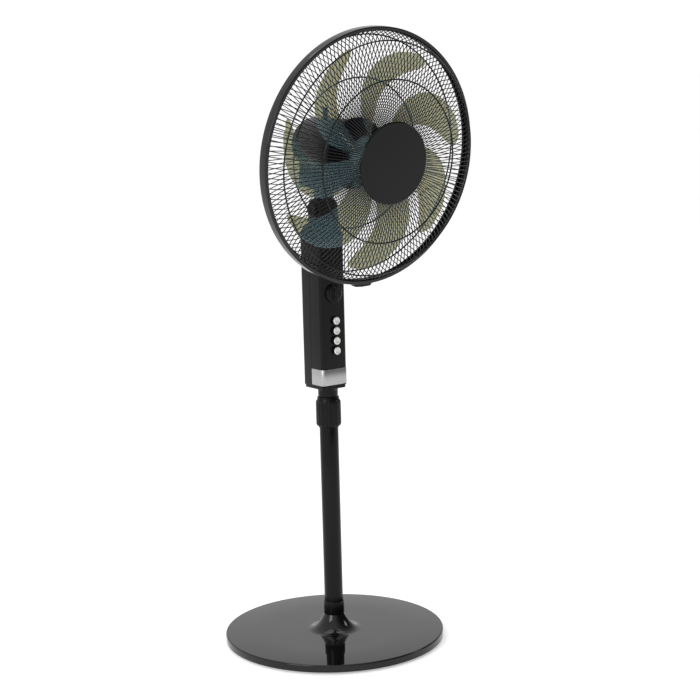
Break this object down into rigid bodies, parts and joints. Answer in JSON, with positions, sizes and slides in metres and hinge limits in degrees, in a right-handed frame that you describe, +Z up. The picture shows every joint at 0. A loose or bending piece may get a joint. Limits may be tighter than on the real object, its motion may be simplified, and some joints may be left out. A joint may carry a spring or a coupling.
{
  "type": "pedestal fan",
  "caption": "Pedestal fan with a weighted round base, a telescopic pole, a key and timer box, and a tilting, swinging head with a smoke blade in a wire guard.",
  "frame": {"origin": "on the floor under the pole's axis", "axes": "+Z up, the fan blows towards -Y, +X is on the left of a person who faces the fan's front"},
  "size_m": [0.44, 0.414, 1.1037],
  "materials": {
    "cast_weight": "rough",
    "gloss_black": "mirror gloss",
    "rubber": "matte",
    "zinc_steel": "plated",
    "satin_black": "satin",
    "painted_tube": "gloss paint",
    "white_plastic": "matte",
    "chrome_tube": "polished",
    "silver_trim": "silver lacquer",
    "cast_alloy": "as cast",
    "motor_iron": "laminated",
    "copper_wire": "enamelled",
    "bearing_bronze": "sintered",
    "coated_wire": "gloss coat",
    "smoke_plastic": "smoke tinted, clear plastic"
  },
  "bodies": {
    "stand": {"base_weight": "cast_weight", "base_cover": "gloss_black", "rubber_feet": "rubber", "base_bolt": "zinc_steel", "ferrule": "satin_black", "outer_tube": "painted_tube", "collar_bush": "satin_black"},
    "collar": {"height_collar": "satin_black"},
    "mast": {"inner_tube": "chrome_tube", "tube_guide": "white_plastic", "pole_socket": "satin_black", "box_front": "satin_black", "box_rear": "satin_black", "silver_band": "silver_trim", "switch_block": "white_plastic", "timer_unit": "white_plastic", "cord_gland": "rubber", "box_screws": "zinc_steel", "tilt_clevis": "satin_black", "tilt_bolt": "zinc_steel"},
    "high_key": {"high_key": "silver_trim"},
    "medium_key": {"medium_key": "silver_trim"},
    "low_key": {"low_key": "silver_trim"},
    "off_key": {"off_key": "silver_trim"},
    "timer_knob": {"timer_knob": "satin_black"},
    "tilt_knob": {"tilt_knob": "satin_black"},
    "neck": {"neck": "satin_black", "swing_pin": "zinc_steel", "swing_stud": "zinc_steel"},
    "head": {"swing_bracket": "cast_alloy", "rear_housing": "satin_black", "front_motor_cover": "satin_black", "stator": "motor_iron", "motor_windings": "copper_wire", "rear_bearing": "bearing_bronze", "front_bearing": "bearing_bronze", "gear_case": "cast_alloy", "rear_grille": "coated_wire", "grille_nut": "satin_black", "guard_ring": "satin_black", "ring_clip": "satin_black", "clip_screw": "zinc_steel", "front_grille": "coated_wire", "front_cap": "gloss_black"},
    "rotor": {"rotor": "motor_iron", "motor_shaft": "zinc_steel", "drive_pin": "zinc_steel", "fan_blade": "smoke_plastic", "blade_nut": "satin_black"},
    "worm_wheel": {"worm_wheel": "white_plastic"},
    "crank": {"crank": "zinc_steel"},
    "crank_link": {"crank_link": "zinc_steel"},
    "swing_knob": {"swing_knob": "satin_black"}
  },
  "joints": [
    {"name": "collar_turn", "type": "hinge", "parent": "stand", "child": "collar", "pos_m": [0, 0, 0.425], "axis": [0, 0, 1], "range_deg": [0, 360]},
    {"name": "height_slide", "type": "slide", "parent": "stand", "child": "mast", "axis": [0, 0, 1], "range_m": [0, 0.24]},
    {"name": "timer_turn", "type": "hinge", "parent": "mast", "child": "timer_knob", "pos_m": [0, -0.024, 0.641], "axis": [0, 1, 0], "range_deg": [0, 270]},
    {"name": "tilt_knob_turn", "type": "hinge", "parent": "mast", "child": "tilt_knob", "pos_m": [-0.0234, 0, 0.79], "axis": [-1, 0, 0], "range_deg": [0, 360]},
    {"name": "head_tilt", "type": "hinge", "parent": "mast", "child": "neck", "pos_m": [0, 0, 0.79], "axis": [1, 0, 0], "range_deg": [-22, 7]},
    {"name": "head_swing", "type": "hinge", "parent": "neck", "child": "head", "pos_m": [0, -0.00529, 0.82965], "axis": [0, -0.1323, 0.9912], "range_deg": [-40, 40]},
    {"name": "blade_spin", "type": "hinge", "parent": "head", "child": "rotor", "pos_m": [0, -0.01481, 0.90102], "axis": [0, -0.9912, -0.1323], "continuous": true},
    {"name": "worm_wheel_turn", "type": "hinge", "parent": "head", "child": "worm_wheel", "pos_m": [0.015, 0.01294, 0.90472], "axis": [0, -0.1323, 0.9912], "continuous": true},
    {"name": "crank_turn", "type": "hinge", "parent": "head", "child": "crank", "pos_m": [0.015, 0.02141, 0.84128], "axis": [0, -0.1323, 0.9912], "range_deg": [-91, 91]},
    {"name": "link_turn", "type": "hinge", "parent": "crank", "child": "crank_link", "pos_m": [0.0073, 0.02246, 0.83335], "axis": [0, -0.1323, 0.9912], "range_deg": [-91, 91]},
    {"name": "swing_knob_slide", "type": "slide", "parent": "head", "child": "swing_knob", "axis": [0, -0.1323, 0.9912], "range_m": [-0.006, 0]},
    {"name": "high_press", "type": "slide", "parent": "mast", "child": "high_key", "axis": [0, 1, 0], "range_m": [0, 0.0035], "stiffness_N_per_m": 350, "springref_m": -0.003},
    {"name": "medium_press", "type": "slide", "parent": "mast", "child": "medium_key", "axis": [0, 1, 0], "range_m": [0, 0.0035], "stiffness_N_per_m": 350, "springref_m": -0.003},
    {"name": "low_press", "type": "slide", "parent": "mast", "child": "low_key", "axis": [0, 1, 0], "range_m": [0, 0.0035], "stiffness_N_per_m": 350, "springref_m": -0.003},
    {"name": "off_press", "type": "slide", "parent": "mast", "child": "off_key", "axis": [0, 1, 0], "range_m": [0, 0.0035], "stiffness_N_per_m": 350, "springref_m": -0.003}
  ],
  "couplings": [
    {"joint": "worm_wheel_turn", "follows": "blade_spin", "ratio": 0.041667},
    {"joint": "crank_turn", "follows": "head_swing", "ratio": 2.25},
    {"joint": "link_turn", "follows": "head_swing", "ratio": -2.25}
  ]
}
